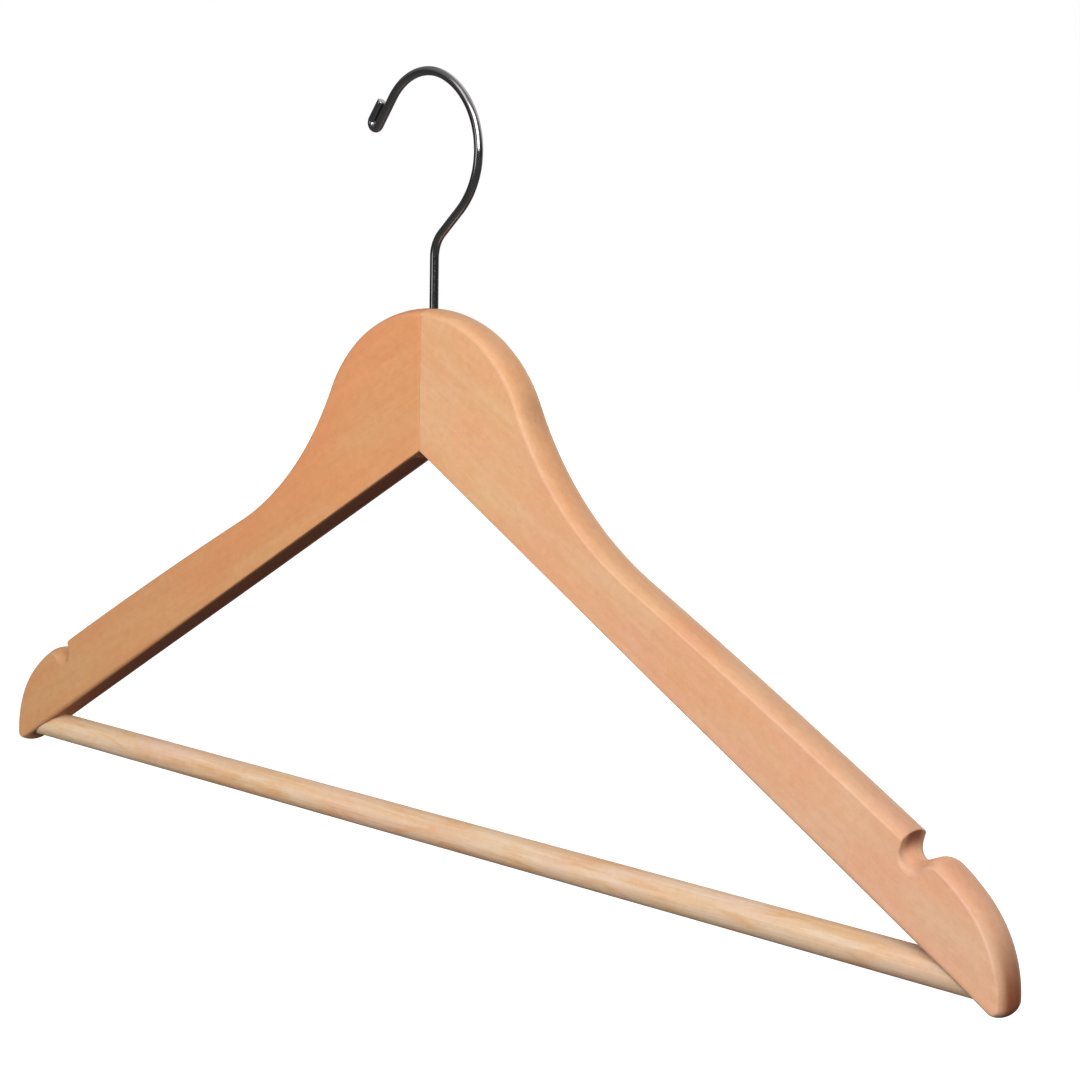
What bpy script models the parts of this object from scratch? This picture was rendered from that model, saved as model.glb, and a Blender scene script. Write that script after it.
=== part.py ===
# Wooden suit hanger: two wooden arms joined under the hook, a round trouser bar,
# and a wire hook that turns in the crown.
# Metres, +Z up. X runs along the hanger and the front faces -Y.
# The origin is the rail seat: the underside of the hook's loop, right above the shank.
# Heights in the code are measured from the apex, where the arms' inner edges meet.

import math

import bmesh
import bpy

mm = 0.001

# Overall and fits
overall_width = 430 * mm
seat_gap = 0.3 * mm            # clearance between pieces that seat on each other
overrun = 2 * mm               # how far a cutter passes the wood that it cuts

# Trouser bar
bar_diameter = 10 * mm
bar_chamfer = 0.8 * mm
bar_rise = 4.3 * mm            # bar axis above the centre of the tip's rounding
end_wall = 5.5 * mm            # wood left past the end of each bar hole

# Arms, as seen from the front
cheek_wall = 0.7 * mm          # wood left in front of and behind the bar
crown_height = 43.9 * mm       # top of the crown above the apex
crown_radius = 46.1 * mm
crown_sweep = math.radians(65.3)
neck_radius = 102.7 * mm
shoulder_slope = math.radians(28.4)
shoulder_radius = 2786 * mm
end_radius = 37.3 * mm
tip_radius = 3.4 * mm
tip_drop = 1 * mm              # how far the tip hangs below the line of the inner edge
inner_slope = math.radians(31.25)
nose_inset = 1.6 * mm          # how far the rounded edge draws in at each face
nose_fade = 8 * mm             # stretch of inner edge over which the rounding dies out

# Strap notches
notch_from_end = 31.4 * mm
notch_drop = 5.4 * mm          # centre of the notch's root below the shoulder line
notch_root_radius = 3 * mm
notch_wall_lean = math.radians(15)
notch_floor_rise = math.radians(17)
notch_floor_length = 5.4 * mm
notch_lip_radius = 4.5 * mm
notch_lip_turn = math.radians(35)

# Centre joint: a stub tenon on the right arm, glued into the left one
tenon_length = 9 * mm
tenon_root = 3 * mm
tenon_low = 10.5 * mm
tenon_high = 35.5 * mm
tenon_wall = 1.3 * mm          # wood beside the hook's bore
tenon_chamfer = 1 * mm

# Hook
wire_diameter = 2.8 * mm
shank_height = 59.8 * mm       # start of the first bend above the apex
bend_radius = 9.9 * mm
bend_angle = math.radians(46.6)
slant_length = 10.1 * mm
loop_side_radius = 24.7 * mm
loop_side_sweep = math.radians(111.2)
loop_top_radius = 18.6 * mm
loop_top_sweep = math.radians(80)
nib_length = 10.6 * mm
fold_radius = 1.7 * mm
fold_return = 7 * mm
wire_sides = 16

# Washer and nut in the pocket under the crown
pocket_seat = 8 * mm           # seat of the washer above the apex
pocket_clearance = 0.6 * mm
washer_diameter = 7 * mm
washer_thickness = 0.8 * mm
nut_across_flats = 5.5 * mm
nut_thickness = 2.4 * mm
nut_chamfer = 0.35 * mm
shank_end = 0.8 * mm           # shank below the nut

# Brads that lock the bar, driven from the back
brad_from_end = 9 * mm
brad_shank_diameter = 1.3 * mm
brad_head_diameter = 2.4 * mm
brad_head_thickness = 0.7 * mm
brad_length = 8.6 * mm
brad_point = 1.6 * mm
brad_set = 0.05 * mm           # head below the wood's surface

# Sizes that follow
half_width = overall_width / 2
bar_hole_radius = bar_diameter / 2 + seat_gap
half_thickness = bar_hole_radius + cheek_wall
nose_radius = (half_thickness**2 + nose_inset**2) / (2 * nose_inset)
wire_radius = wire_diameter / 2
bore_radius = wire_radius + seat_gap
tenon_half_thickness = bore_radius + tenon_wall
pocket_radius = washer_diameter / 2 + pocket_clearance
washer_top = pocket_seat - seat_gap
nut_top = washer_top - washer_thickness - seat_gap
shank_bottom = nut_top - nut_thickness - shank_end
bar_hole_end = half_width - end_wall
bar_half_length = bar_hole_end - seat_gap
brad_x = half_width - brad_from_end


def clear_scene():
    for item in list(bpy.data.objects):
        bpy.data.objects.remove(item, do_unlink=True)


def finish(name, colour, roughness, metallic=0.0):
    """A Principled material in one colour."""
    material = bpy.data.materials.new(name)
    material.use_nodes = True
    shader = material.node_tree.nodes["Principled BSDF"]
    shader.inputs["Base Color"].default_value = (*colour, 1.0)
    shader.inputs["Roughness"].default_value = roughness
    shader.inputs["Metallic"].default_value = metallic
    material.diffuse_color = (*colour, 1.0)
    return material


def place(name, data, parent, material=None):
    """Link mesh or curve data under a parent, with its material."""
    item = bpy.data.objects.new(name, data)
    bpy.context.collection.objects.link(item)
    item.parent = parent
    if material:
        data.materials.append(material)
    return item


def mesh_from(bm, name, smooth=True):
    """Turn a bmesh into a mesh whose faces point out and whose curves look round."""
    bmesh.ops.recalc_face_normals(bm, faces=bm.faces)
    mesh = bpy.data.meshes.new(name)
    bm.to_mesh(mesh)
    bm.free()
    if smooth:
        mesh.shade_smooth()
        mesh.set_sharp_from_angle(angle=math.radians(25))
    return mesh


def cutter(name, bm, parent):
    item = place(name, mesh_from(bm, name, smooth=False), parent)
    item.display_type = "WIRE"
    item.hide_render = True
    return item


def boolean(target, tool, operation="DIFFERENCE"):
    modifier = target.modifiers.new(tool.name, "BOOLEAN")
    modifier.operation = operation
    modifier.solver = "EXACT"
    modifier.object = tool


def turn(centre, radius, start, end, steps):
    """Points and outward normals of an arc in the XZ plane, angles clockwise from +Z."""
    points = []
    for step in range(steps + 1):
        angle = start + (end - start) * step / steps
        normal = (math.sin(angle), math.cos(angle))
        points.append(((centre[0] + radius * normal[0], centre[1] + radius * normal[1]), normal))
    return points


def shoulder_curves():
    """Centres and angles of the arcs of the upper edge, from the crown to the tip."""
    crown = (0.0, crown_height - crown_radius)
    first = (math.sin(crown_sweep), math.cos(crown_sweep))
    neck_reach = crown_radius + neck_radius
    neck = (crown[0] + neck_reach * first[0], crown[1] + neck_reach * first[1])
    second = (math.sin(shoulder_slope), math.cos(shoulder_slope))
    shoulder_reach = neck_radius + shoulder_radius
    shoulder = (neck[0] - shoulder_reach * second[0], neck[1] - shoulder_reach * second[1])
    # The end arc leaves the shoulder at the slope that brings it out to the half width.
    reach = (half_width - end_radius - shoulder[0]) / (shoulder_radius - end_radius)
    end_slope = math.asin(reach)
    span = shoulder_radius - end_radius
    end = (shoulder[0] + span * math.sin(end_slope), shoulder[1] + span * math.cos(end_slope))
    # The tip's rounding touches the end arc from inside and hangs just below the inner edge.
    above = end[0] * math.sin(inner_slope) + end[1] * math.cos(inner_slope) - tip_radius + tip_drop
    along = math.sqrt((end_radius - tip_radius) ** 2 - above**2)
    tip = (
        end[0] - above * math.sin(inner_slope) + along * math.cos(inner_slope),
        end[1] - above * math.cos(inner_slope) - along * math.sin(inner_slope),
    )
    tip_start = math.atan2(tip[0] - end[0], tip[1] - end[1])
    return {
        "crown": crown, "neck": neck, "shoulder": shoulder, "end": end, "tip": tip,
        "end_slope": end_slope, "tip_start": tip_start,
    }


curves = shoulder_curves()
bar_height = curves["tip"][1] + bar_rise


def shoulder_z(x):
    """Height of the shoulder line at a distance from the middle."""
    centre = curves["shoulder"]
    return centre[1] + math.sqrt(shoulder_radius**2 - (x - centre[0]) ** 2)


def arm_outline():
    """Points, normals and share of nose rounding, clockwise from the joint's top."""
    joint_x = seat_gap / 2
    outline = []
    crown_start = math.asin(joint_x / crown_radius)
    upper = turn(curves["crown"], crown_radius, crown_start, crown_sweep, 20)
    back = math.pi
    neck = turn(curves["neck"], neck_radius, crown_sweep + back, shoulder_slope + back, 16)
    upper += [(point, (-normal[0], -normal[1])) for point, normal in neck[1:]]
    upper += turn(curves["shoulder"], shoulder_radius, shoulder_slope, curves["end_slope"], 6)[1:]
    upper += turn(curves["end"], end_radius, curves["end_slope"], curves["tip_start"], 16)[1:]
    upper += turn(curves["tip"], tip_radius, curves["tip_start"], math.pi + inner_slope, 10)[1:]
    outline += [(point, normal, 1.0) for point, normal in upper]
    # Behind the tip the rounding dies out, so the rest of the inner edge is square.
    corner = upper[-1][0]
    inward = (-math.cos(inner_slope), math.sin(inner_slope))
    below = (-math.sin(inner_slope), -math.cos(inner_slope))
    fade_steps = 8
    for step in range(1, fade_steps + 1):
        share = (1 + math.cos(math.pi * step / fade_steps)) / 2
        run = nose_fade * step / fade_steps
        rise = tip_drop * (1 - share)
        point = (
            corner[0] + inward[0] * run - below[0] * rise, corner[1] + inward[1] * run - below[1] * rise,
        )
        outline.append((point, below, share))
    outline.append(((joint_x, -joint_x * math.tan(inner_slope)), below, 0.0))
    return outline


def arm_body(side):
    """The arm's solid: its outline carried across the thickness, with a rounded upper edge."""
    bm = bmesh.new()
    bands = 10
    widest = math.asin(half_thickness / nose_radius)
    levels = []
    for step in range(bands + 1):
        angle = -widest + 2 * widest * step / bands
        levels.append((nose_radius * math.sin(angle), nose_radius * (1 - math.cos(angle))))
    rings = []
    for y, inset in levels:
        ring = []
        for (x, z), normal, share in arm_outline():
            ring.append(bm.verts.new((
                side * (x - normal[0] * inset * share), y, z - normal[1] * inset * share,
            )))
        rings.append(ring)
    count = len(rings[0])
    for near, far in zip(rings, rings[1:]):
        for i in range(count):
            bm.faces.new((near[i], near[(i + 1) % count], far[(i + 1) % count], far[i]))
    bm.faces.new(rings[0])
    bm.faces.new(rings[-1])
    return mesh_from(bm, "arm")


def prism(outline, low_y, high_y):
    """A solid between two Y planes from an outline in XZ."""
    bm = bmesh.new()
    face = bm.faces.new([bm.verts.new((x, low_y, z)) for x, z in outline])
    made = bmesh.ops.extrude_face_region(bm, geom=[face])["geom"]
    moved = [item for item in made if isinstance(item, bmesh.types.BMVert)]
    bmesh.ops.translate(bm, vec=(0, high_y - low_y, 0), verts=moved)
    return bm


def turned(profile, axis, steps=32):
    """A solid of revolution. The profile is (radius, position along the axis)."""
    bm = bmesh.new()
    verts = [bm.verts.new((radius, 0, place_along)) for radius, place_along in profile]
    edges = [bm.edges.new(pair) for pair in zip(verts, verts[1:])]
    if profile[0][0] > 0:
        edges.append(bm.edges.new((verts[-1], verts[0])))
    bmesh.ops.spin(
        bm, geom=verts + edges, cent=(0, 0, 0), axis=(0, 0, 1),
        angle=2 * math.pi, steps=steps, use_merge=True, use_duplicate=False,
    )
    bmesh.ops.remove_doubles(bm, verts=bm.verts, dist=seat_gap / 1000)
    swap = {"X": (2, 1, 0), "Y": (0, 2, 1), "Z": (0, 1, 2)}[axis]
    for vert in bm.verts:
        vert.co = [vert.co[i] for i in swap]
    return bm


def rod(radius, low, high, axis, steps=32):
    return turned([(0, low), (radius, low), (radius, high), (0, high)], axis, steps)


def notch_outline(side):
    """The strap notch: a leaning wall, a round root and a floor that rises to a soft lip."""
    root_x = half_width - notch_from_end
    root = (root_x, shoulder_z(root_x) - notch_drop)
    wall_angle = notch_wall_lean - math.pi / 2
    floor_angle = math.pi - notch_floor_rise
    cut = turn(root, notch_root_radius, wall_angle, floor_angle - 2 * math.pi, 12)
    points = [point for point, normal in cut]
    climb = notch_drop + notch_root_radius + overrun
    start = points[0]
    wall_top = (start[0] + climb * math.tan(notch_wall_lean), start[1] + climb)
    direction = (math.cos(notch_floor_rise), math.sin(notch_floor_rise))
    low = points[-1]
    lip = (low[0] + direction[0] * notch_floor_length, low[1] + direction[1] * notch_floor_length)
    centre = (lip[0] + notch_lip_radius * direction[1], lip[1] - notch_lip_radius * direction[0])
    lip_start = -notch_floor_rise
    points += [
        point for point, normal in
        turn(centre, notch_lip_radius, lip_start, lip_start + notch_lip_turn, 5)
    ]
    leave = notch_lip_turn - notch_floor_rise
    out = notch_lip_radius + overrun
    points.append((points[-1][0] + out, points[-1][1] - out * math.tan(leave)))
    points.append((points[-1][0] + overrun, wall_top[1]))
    return [(side * x, z) for x, z in [wall_top] + points]


def tenon_outline(clearance):
    """The stub tenon in elevation, with chamfered leading corners."""
    tip = -tenon_length - clearance
    low = tenon_low - clearance
    high = tenon_high + clearance
    return [
        (tenon_root, low), (tip + tenon_chamfer, low), (tip, low + tenon_chamfer),
        (tip, high - tenon_chamfer), (tip + tenon_chamfer, high), (tenon_root, high),
    ]


def make_arm(side, name, parent, material):
    """One arm: body, joint, strap notch, bar hole, brad hole, hook bore and nut pocket."""
    arm = place(name, arm_body(side), parent, material)
    depth = half_thickness + overrun
    if side > 0:
        outline = tenon_outline(0.0)
        bm = prism(outline, -tenon_half_thickness, tenon_half_thickness)
        boolean(arm, cutter(name + "_tenon", bm, parent), "UNION")
    else:
        reach = tenon_half_thickness + seat_gap
        bm = prism(tenon_outline(seat_gap), -reach, reach)
        boolean(arm, cutter(name + "_mortise", bm, parent))
    boolean(arm, cutter(name + "_notch", prism(notch_outline(side), -depth, depth), parent))

    hole_start = bar_height / -math.tan(inner_slope) - bar_diameter * 2
    ends = sorted((side * hole_start, side * bar_hole_end))
    hole = cutter(name + "_bar_hole", rod(bar_hole_radius, *ends, "X"), parent)
    hole.location = (0, 0, bar_height)
    boolean(arm, hole)

    head_hole = rod(brad_head_diameter / 2 + seat_gap, 0, depth, "Y", 16)
    head = cutter(name + "_brad_hole", head_hole, parent)
    head.location = (side * brad_x, 0, bar_height)
    boolean(arm, head)

    bore_top = crown_height + overrun
    profile = [
        (0, -pocket_radius - overrun), (pocket_radius, -pocket_radius - overrun),
        (pocket_radius, pocket_seat), (bore_radius, pocket_seat), (bore_radius, bore_top), (0, bore_top),
    ]
    boolean(arm, cutter(name + "_hook_bore", turned(profile, "Z", 24), parent))
    return arm


def make_trouser_bar(parent, material):
    """A dowel with chamfered ends and a cross hole for each brad."""
    radius = bar_diameter / 2
    inner = radius - bar_chamfer
    shoulder = bar_half_length - bar_chamfer
    profile = [
        (0, -bar_half_length), (inner, -bar_half_length), (radius, -shoulder),
        (radius, shoulder), (inner, bar_half_length), (0, bar_half_length),
    ]
    bar = place("trouser_bar", mesh_from(turned(profile, "X"), "trouser_bar"), parent, material)
    bar.location = (0, 0, bar_height)
    hole_low = half_thickness - brad_set - brad_head_thickness - brad_length - seat_gap
    for side, word in ((-1, "left"), (1, "right")):
        hole = rod(brad_shank_diameter / 2 + seat_gap, hole_low, half_thickness, "Y", 12)
        cut = cutter("bar_brad_hole_" + word, hole, parent)
        cut.location = (side * brad_x, 0, bar_height)
        boolean(bar, cut)
    return bar


def make_brad(side, name, parent, material):
    """A brad: flat head, thin shank and a point, driven through the back of the tip."""
    head_top = half_thickness - brad_set
    head_under = head_top - brad_head_thickness
    tip = head_under - brad_length
    shank = brad_shank_diameter / 2
    profile = [
        (0, tip), (shank, tip + brad_point), (shank, head_under),
        (brad_head_diameter / 2, head_under), (brad_head_diameter / 2, head_top), (0, head_top),
    ]
    brad = place(name, mesh_from(turned(profile, "Y", 16), name), parent, material)
    brad.location = (side * brad_x, 0, bar_height)
    return brad


def hook_path():
    """The wire's centre line in XZ, from the shank's end to the folded nib's end."""
    path = [(0.0, shank_bottom), (0.0, crown_height), (0.0, shank_height)]
    heading = math.pi / 2

    def bend(radius, sweep, steps):
        nonlocal heading
        hand = math.copysign(1, sweep)
        x, z = path[-1]
        centre = (x - hand * radius * math.sin(heading), z + hand * radius * math.cos(heading))
        for step in range(1, steps + 1):
            angle = heading + sweep * step / steps
            path.append((
                centre[0] + hand * radius * math.sin(angle), centre[1] - hand * radius * math.cos(angle),
            ))
        heading += sweep

    def straight(length):
        x, z = path[-1]
        path.append((x + length * math.cos(heading), z + length * math.sin(heading)))

    bend(bend_radius, -bend_angle, 8)
    straight(slant_length)
    bend(loop_side_radius, loop_side_sweep, 22)
    bend(loop_top_radius, loop_top_sweep, 16)
    straight(nib_length)
    bend(fold_radius, -math.pi, 12)
    straight(fold_return)
    return path


def loop_top_centre():
    """Centre of the arc that rides on the rail, found from the stretches below it."""
    lean = math.pi / 2 - bend_angle
    x = bend_radius * (1 - math.cos(bend_angle)) + slant_length * math.cos(lean)
    z = shank_height + bend_radius * math.sin(bend_angle) + slant_length * math.sin(lean)
    x -= loop_side_radius * math.sin(lean)
    z += loop_side_radius * math.cos(lean)
    heading = lean + loop_side_sweep
    step = loop_side_radius - loop_top_radius
    return x + step * math.sin(heading), z - step * math.cos(heading)


def rail_seat_height():
    """Height of the loop's inner side right above the shank."""
    x, z = loop_top_centre()
    inner_radius = loop_top_radius - wire_radius
    return z + math.sqrt(inner_radius**2 - x**2)


def make_hook(parent, material):
    """One bent wire: shank, offset bend, loop and a nib folded back on the outside."""
    path = hook_path()
    bm = bmesh.new()
    rings = []
    for i, (x, z) in enumerate(path):
        before = path[max(i - 1, 0)]
        after = path[min(i + 1, len(path) - 1)]
        heading = math.atan2(after[1] - before[1], after[0] - before[0])
        ring = []
        for side in range(wire_sides):
            turn_angle = 2 * math.pi * side / wire_sides
            out = wire_radius * math.cos(turn_angle)
            ring.append(bm.verts.new((
                x - out * math.sin(heading), wire_radius * math.sin(turn_angle),
                z + out * math.cos(heading),
            )))
        rings.append(ring)
    for near, far in zip(rings, rings[1:]):
        for i in range(wire_sides):
            after = (i + 1) % wire_sides
            bm.faces.new((near[i], near[after], far[after], far[i]))
    bm.faces.new(rings[0])
    bm.faces.new(rings[-1])
    return place("hook", mesh_from(bm, "hook"), parent, material)


def make_washer(parent, material):
    low = washer_top - washer_thickness
    outer = washer_diameter / 2
    profile = [(bore_radius, low), (outer, low), (outer, washer_top), (bore_radius, washer_top)]
    return place("hook_washer", mesh_from(turned(profile, "Z"), "hook_washer"), parent, material)


def make_nut(parent, material):
    """A hexagon nut with chamfered corners on both faces."""
    low = nut_top - nut_thickness
    flat = nut_across_flats / 2
    corner = flat / math.cos(math.pi / 6)
    hexagon = rod(corner, low, nut_top, "Z", 6)
    nut = place("hook_nut", mesh_from(hexagon, "hook_nut", smooth=False), parent, material)
    barrel = [
        (0, low), (flat, low), (corner, low + nut_chamfer),
        (corner, nut_top - nut_chamfer), (flat, nut_top), (0, nut_top),
    ]
    boolean(nut, cutter("nut_chamfers", turned(barrel, "Z", 36), parent), "INTERSECT")
    bore = rod(bore_radius, low - overrun, nut_top + overrun, "Z", 24)
    boolean(nut, cutter("nut_bore", bore, parent))
    return nut


def pivot(name):
    """An empty on the swivel axis, level with the apex."""
    empty = bpy.data.objects.new(name, None)
    bpy.context.collection.objects.link(empty)
    empty.location = (0, 0, -rail_seat_height())
    return empty


def main():
    clear_scene()
    left_wood = finish("left_wood", (0.60, 0.32, 0.15), 0.42)
    right_wood = finish("right_wood", (0.70, 0.42, 0.24), 0.42)
    bar_wood = finish("bar_wood", (0.78, 0.57, 0.34), 0.5)
    bright_wire = finish("bright_wire", (0.55, 0.55, 0.56), 0.12, 1.0)
    plated_steel = finish("plated_steel", (0.62, 0.61, 0.58), 0.3, 1.0)
    brad_steel = finish("brad_steel", (0.5, 0.5, 0.5), 0.35, 1.0)

    hanger_body = pivot("hanger_body")
    make_arm(-1, "left_arm", hanger_body, left_wood)
    make_arm(1, "right_arm", hanger_body, right_wood)
    make_trouser_bar(hanger_body, bar_wood)
    make_brad(-1, "bar_brad_left", hanger_body, brad_steel)
    make_brad(1, "bar_brad_right", hanger_body, brad_steel)

    hook_set = pivot("hook_set")
    make_hook(hook_set, bright_wire)
    make_washer(hook_set, plated_steel)
    make_nut(hook_set, plated_steel)


main()
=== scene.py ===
import math

import bmesh
import bpy
from mathutils import Matrix, Vector


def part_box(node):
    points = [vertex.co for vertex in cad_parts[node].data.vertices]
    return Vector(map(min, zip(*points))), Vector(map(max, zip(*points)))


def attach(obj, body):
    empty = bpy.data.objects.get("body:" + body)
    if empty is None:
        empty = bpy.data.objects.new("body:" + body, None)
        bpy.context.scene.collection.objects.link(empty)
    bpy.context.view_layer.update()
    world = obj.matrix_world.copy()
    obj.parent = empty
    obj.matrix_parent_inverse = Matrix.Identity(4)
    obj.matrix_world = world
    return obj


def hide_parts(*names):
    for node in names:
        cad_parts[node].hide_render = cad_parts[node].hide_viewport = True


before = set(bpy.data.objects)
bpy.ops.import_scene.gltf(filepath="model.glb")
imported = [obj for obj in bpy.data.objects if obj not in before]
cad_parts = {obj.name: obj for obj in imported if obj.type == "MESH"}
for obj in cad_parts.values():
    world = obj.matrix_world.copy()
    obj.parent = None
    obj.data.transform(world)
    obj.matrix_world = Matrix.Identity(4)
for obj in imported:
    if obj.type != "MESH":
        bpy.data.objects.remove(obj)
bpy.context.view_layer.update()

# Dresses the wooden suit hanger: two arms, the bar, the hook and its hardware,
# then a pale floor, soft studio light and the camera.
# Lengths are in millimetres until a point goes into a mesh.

mm = 0.001

# Heights are counted from the apex, where the arms' inner edges meet.
# The frame's origin is the hook's rail seat, seatHeight above the apex.
shankLow = 3.4                     # lower end of the hook's shank above the apex
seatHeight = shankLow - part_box("hook")[0].z / mm
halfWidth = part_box("right_arm")[1].x / mm
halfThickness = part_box("right_arm")[1].y / mm
barLow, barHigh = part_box("trouser_bar")
barHeight = (barLow.z + barHigh.z) / 2 / mm + seatHeight
barRadius = (barHigh.z - barLow.z) / 2 / mm

print("frame: seat", round(seatHeight, 3), "bar", round(barHeight, 3), "half", round(halfWidth, 2))


# Small helpers for points, meshes and node trees

def arcPoints(centre, radius, start, end, spacing):
    # points and outward normals; angles run clockwise from straight up
    steps = max(2, math.ceil(abs(end - start) * radius / spacing))
    points = []
    for i in range(steps + 1):
        angle = start + (end - start) * i / steps
        normal = Vector((math.sin(angle), math.cos(angle)))
        points.append((Vector(centre) + radius * normal, normal))
    return points


def smooth(share):
    share = min(1.0, max(0.0, share))
    return share * share * (3 - 2 * share)


def fade(value, start, stop):
    # 0 up to start, 1 from stop on, with a soft rise between them
    return smooth((value - start) / (stop - start))


def bell(value, middle, reach):
    return math.exp(-((value - middle) / reach) ** 2)


def resample(path, count):
    # evenly spaced points along a polyline, both ends included
    total = sum((b - a).length for a, b in zip(path, path[1:]))
    points = [path[0].copy()]
    walked, i = 0.0, 0
    for k in range(1, count - 1):
        target = total * k / (count - 1)
        while walked + (path[i + 1] - path[i]).length < target:
            walked += (path[i + 1] - path[i]).length
            i += 1
        step = path[i + 1] - path[i]
        points.append(path[i] + step * ((target - walked) / step.length))
    points.append(path[-1].copy())
    return points


def crossing(a, b, fromEnd=False):
    # where polyline a first meets polyline b: segment of a, segment of b, point
    order = range(len(a) - 1)
    for i in (reversed(order) if fromEnd else order):
        p, r = a[i], a[i + 1] - a[i]
        for j in range(len(b) - 1):
            q, s = b[j], b[j + 1] - b[j]
            cross = r.x * s.y - r.y * s.x
            if abs(cross) < 1e-12:
                continue
            t = ((q.x - p.x) * s.y - (q.y - p.y) * s.x) / cross
            u = ((q.x - p.x) * r.y - (q.y - p.y) * r.x) / cross
            if 0 <= t <= 1 and 0 <= u <= 1:
                return i, j, p + r * t
    raise ValueError("the two outlines don't cross")


def meshFrom(name, bm):
    bmesh.ops.recalc_face_normals(bm, faces=bm.faces)
    mesh = bpy.data.meshes.new(name)
    bm.to_mesh(mesh)
    bm.free()
    return mesh


def skinMesh(name, bm, rings):
    # a closed skin over rings of equal point counts
    count = len(rings[0])
    for near, far in zip(rings, rings[1:]):
        for i in range(count):
            j = (i + 1) % count
            bm.faces.new((near[i], near[j], far[j], far[i]))
    bm.faces.new(rings[0])
    bm.faces.new(rings[-1])
    return meshFrom(name, bm)


def shade(mesh, sharpAngle):
    mesh.shade_smooth()
    mesh.set_sharp_from_angle(angle=math.radians(sharpAngle))


def addPiece(name, mesh, body, material, node):
    # the piece rides on a body and stands for its CAD node
    piece = bpy.data.objects.new(name, mesh)
    bpy.context.collection.objects.link(piece)
    mesh.materials.append(material)
    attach(piece, body)
    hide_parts(node)
    return piece


def applyModifiers(piece):
    # the mesh as the modifiers leave it becomes the piece's own
    depsgraph = bpy.context.evaluated_depsgraph_get()
    mesh = bpy.data.meshes.new_from_object(piece.evaluated_get(depsgraph))
    piece.modifiers.clear()
    piece.data = mesh


def nodeTree(name):
    material = bpy.data.materials.new(name)
    material.use_nodes = True
    tree = material.node_tree
    return material, tree, tree.nodes["Principled BSDF"]


def addNode(tree, kind, **settings):
    node = tree.nodes.new(kind)
    for key, value in settings.items():
        if key in node.inputs:
            node.inputs[key].default_value = value
        else:
            setattr(node, key, value)
    return node


def ramp(tree, source, stops):
    # two stops, each a place from 0 to 1 and a colour
    node = tree.nodes.new("ShaderNodeValToRGB")
    for element, (place, colour) in zip(node.color_ramp.elements, stops):
        element.position = place
        element.color = (*colour, 1.0)
    tree.links.new(source, node.inputs["Fac"])
    return node.outputs["Color"]


def remap(tree, source, low, high, newLow, newHigh):
    node = tree.nodes.new("ShaderNodeMapRange")
    ends = {"From Min": low, "From Max": high, "To Min": newLow, "To Max": newHigh}
    for socket, value in ends.items():
        node.inputs[socket].default_value = value
    tree.links.new(source, node.inputs["Value"])
    return node.outputs["Result"]


def mixColour(tree, mode, factor, first, second):
    node = tree.nodes.new("ShaderNodeMix")
    node.data_type = "RGBA"
    node.blend_type = mode
    for socket, value in ((node.inputs[0], factor), (node.inputs[6], first), (node.inputs[7], second)):
        if isinstance(value, bpy.types.NodeSocket):
            tree.links.new(value, socket)
        elif isinstance(value, (int, float)):
            socket.default_value = value
        else:
            socket.default_value = (*value, 1.0)
    return node.outputs[2]


def combine(tree, operation, first, second):
    node = tree.nodes.new("ShaderNodeMath")
    node.operation = operation
    for socket, value in zip(node.inputs, (first, second)):
        if isinstance(value, bpy.types.NodeSocket):
            tree.links.new(value, socket)
        else:
            socket.default_value = value
    return node.outputs[0]


def stretched(tree, turn, scale, offset=(0, 0, 0)):
    # object coordinates, turned about Y so that X runs with the grain, then scaled
    place = tree.nodes.new("ShaderNodeTexCoord").outputs["Object"]
    spin = addNode(tree, "ShaderNodeMapping", vector_type="POINT")
    spin.inputs["Rotation"].default_value = (0, turn, 0)
    spin.inputs["Location"].default_value = offset
    tree.links.new(place, spin.inputs["Vector"])
    size = addNode(tree, "ShaderNodeMapping", vector_type="POINT")
    size.inputs["Scale"].default_value = scale
    tree.links.new(spin.outputs["Vector"], size.inputs["Vector"])
    return size.outputs["Vector"]


noiseSpread = (0.3, 0.7)           # nearly all values of a noise lie between these


def noise(tree, vector, detail, roughness, distortion=0.0):
    node = addNode(
        tree, "ShaderNodeTexNoise", Scale=1.0, Detail=detail, Roughness=roughness, Distortion=distortion,
    )
    tree.links.new(vector, node.inputs["Vector"])
    return node.outputs["Fac"]


def painted(tree, layer):
    # a value that stands on the mesh's points
    node = tree.nodes.new("ShaderNodeAttribute")
    node.attribute_name = layer
    return node.outputs["Fac"]


# Wood

leftWood = {
    "grainTurn": 28.0,             # grain direction in degrees, along the left arm
    "patch": (26, 62, 62),         # cloudy patches per metre: along the grain, across it
    "pale": (0.785, 0.475, 0.225),
    "warm": (0.805, 0.435, 0.195),
    "deep": (0.68, 0.32, 0.125),
    "blush": (0.82, 0.39, 0.18),
    "blushShare": 0.4,
    "heart": 0.6,                  # how far the upper edge turns to the blush colour
    "drift": (-0.03, -0.2),        # metres along X where the tint starts and ends to change
    "joint": (1.0, 0.87, 0.84),    # tint from the centre joint up to there
    "tip": (0.90, 0.845, 0.855),   # and out at the tip, darker there as painted shade
    "shift": (0.31, 0.12, 0.05),   # moves the grain, so that no two pieces are alike
    "bands": 0.225,                # strength of each mark in the grain
    "streaks": 0.07,
    "flames": 0.15,
    "flecks": 0.55,
    "roughness": 0.55,
    "coat": 0.05,
}

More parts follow.
